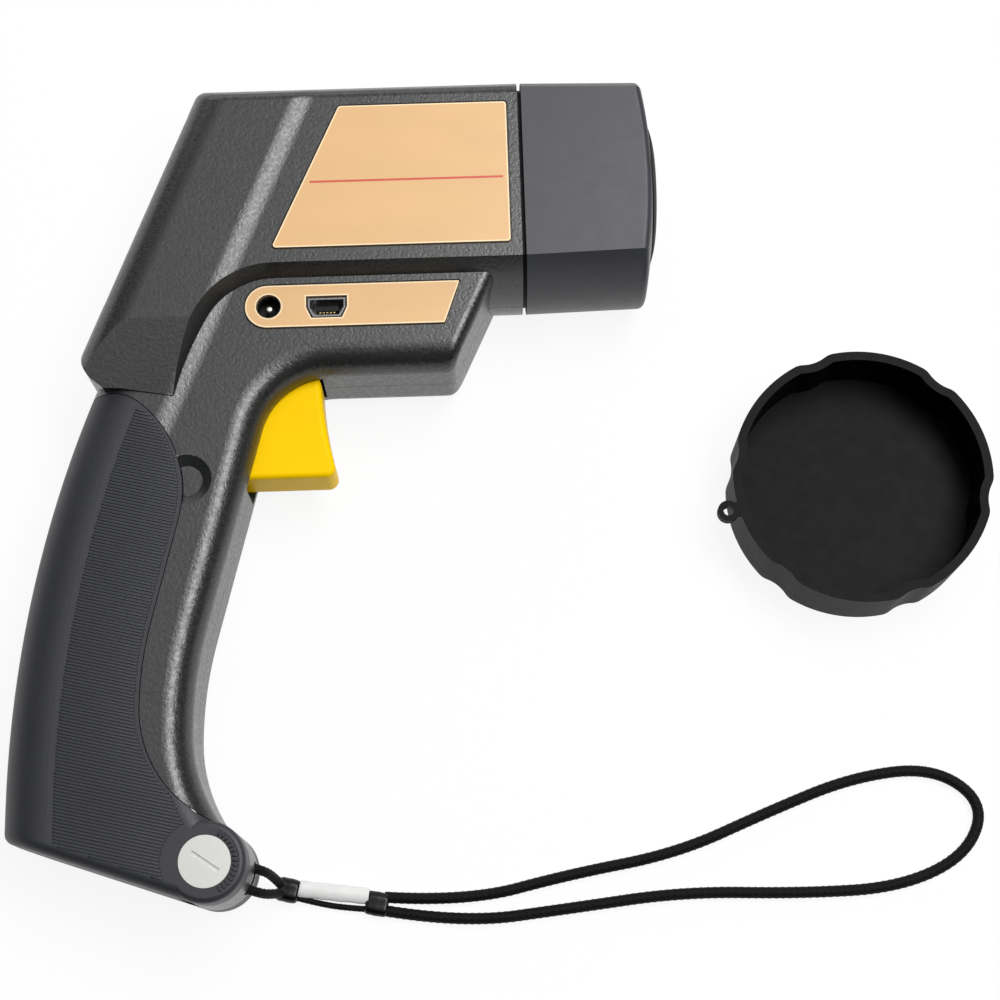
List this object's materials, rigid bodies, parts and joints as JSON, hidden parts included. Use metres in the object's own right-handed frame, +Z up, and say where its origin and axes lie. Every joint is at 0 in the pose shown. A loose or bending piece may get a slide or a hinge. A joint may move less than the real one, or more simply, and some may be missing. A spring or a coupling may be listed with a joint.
{
  "type": "handheld colour meter",
  "caption": "Pistol-grip handheld colour meter lying on its side, with flat-sided barrel, trigger, rear display, hinged battery door, loose cap and wrist strap.",
  "frame": {"origin": "middle of the footprint of the meter with its cap, on the surface that it lies on", "axes": "+Z up from that surface; +X forward along the barrel, towards the muzzle; +Y from the grip towards the top of the head"},
  "size_m": [0.2198, 0.1925, 0.0342],
  "materials": {
    "housing_plastic": "fine spark-textured dark grey moulded plastic",
    "door_plastic": "finely ribbed dark grey moulded plastic",
    "muzzle_plastic": "smooth satin grey moulded plastic",
    "plate_tan": "thin satin tan plate, bare",
    "rule_red": "printed red rule",
    "trigger_yellow": "glossy yellow plastic",
    "soft_black": "soft black elastomer",
    "key_grey": "grey silicone",
    "black_plastic": "black plastic",
    "clear_glass": "clear glass",
    "window_glass": "tinted clear window",
    "display_glass": "grey liquid crystal display, off",
    "board_green": "green circuit board",
    "chip_black": "black chip packages",
    "lamp_white": "white lamp bodies",
    "steel": "machined bright steel",
    "gold": "plated contact metal",
    "cell_wrap": "plain printed battery wrap",
    "cap_plastic": "black moulded plastic with a fine grain",
    "strap_cord": "black braided cord",
    "crimp_black": "black shrink tube",
    "sleeve_clear": "pale translucent tube"
  },
  "bodies": {
    "meter": {"housing_right": "housing_plastic", "housing_left": "housing_plastic", "battery_tray": "housing_plastic", "muzzle_shroud": "muzzle_plastic", "side_plate_right": "plate_tan", "side_plate_left": "plate_tan", "port_plate": "plate_tan", "red_rule_right": "rule_red", "muzzle_gasket": "soft_black", "nose_ring": "soft_black", "key_mat": "soft_black", "light_chamber": "black_plastic", "lens_barrel": "black_plastic", "dc_jack": "black_plastic", "usb_tongue": "black_plastic", "rear_bezel": "black_plastic", "trigger_switch": "black_plastic", "aperture_glass": "clear_glass", "lens": "clear_glass", "display_window": "window_glass", "display_module": "display_glass", "lamp_board": "board_green", "sensor_board": "board_green", "port_board": "board_green", "display_board": "board_green", "main_board": "board_green", "chips": "chip_black", "sensor": "chip_black", "lamps": "lamp_white", "hinge_pin": "steel", "trigger_pin": "steel", "strap_bar": "steel", "housing_screws": "steel", "usb_shell": "steel", "trigger_spring": "steel", "dc_jack_pin": "steel", "usb_contacts": "gold", "cell_contacts": "gold", "cells": "cell_wrap", "strap_short_loop": "strap_cord", "strap_link_cord": "strap_cord", "wrist_loop": "strap_cord", "strap_rear_crimp": "crimp_black", "strap_front_crimp": "crimp_black", "strap_sleeve": "sleeve_clear"},
    "door": {"battery_door": "door_plastic"},
    "trigger": {"trigger": "trigger_yellow"},
    "key_upper_right": {"key_upper_right": "key_grey"},
    "key_upper_left": {"key_upper_left": "key_grey"},
    "key_lower_right": {"key_lower_right": "key_grey"},
    "key_lower_left": {"key_lower_left": "key_grey"},
    "cap": {"cap": "cap_plastic"}
  },
  "joints": [
    {"name": "trigger_pull", "type": "hinge", "parent": "meter", "child": "trigger", "pos_m": [-0.04765, 0.0276, 0.017], "axis": [0, 0, -1], "range_deg": [0, 6], "stiffness_Nm_per_rad": 0.6, "springref_deg": -2.86, "deforming": ["trigger_spring"]},
    {"name": "door_swing", "type": "hinge", "parent": "meter", "child": "door", "pos_m": [-0.06595, -0.0853, 0.017], "axis": [0, 0, 1], "range_deg": [0, 70]},
    {"name": "cap_lift", "type": "slide", "parent": "meter", "child": "cap", "axis": [0, 0, 1], "range_m": [0, 0.06]},
    {"name": "key_upper_right_press", "type": "slide", "parent": "meter", "child": "key_upper_right", "axis": [0.9287, -0.3709, 0], "range_m": [0, 0.0006], "stiffness_N_per_m": 400, "springref_m": -0.0004},
    {"name": "key_upper_left_press", "type": "slide", "parent": "meter", "child": "key_upper_left", "axis": [0.9287, -0.3709, 0], "range_m": [0, 0.0006], "stiffness_N_per_m": 400, "springref_m": -0.0004},
    {"name": "key_lower_right_press", "type": "slide", "parent": "meter", "child": "key_lower_right", "axis": [0.9287, -0.3709, 0], "range_m": [0, 0.0006], "stiffness_N_per_m": 400, "springref_m": -0.0004},
    {"name": "key_lower_left_press", "type": "slide", "parent": "meter", "child": "key_lower_left", "axis": [0.9287, -0.3709, 0], "range_m": [0, 0.0006], "stiffness_N_per_m": 400, "springref_m": -0.0004}
  ]
}
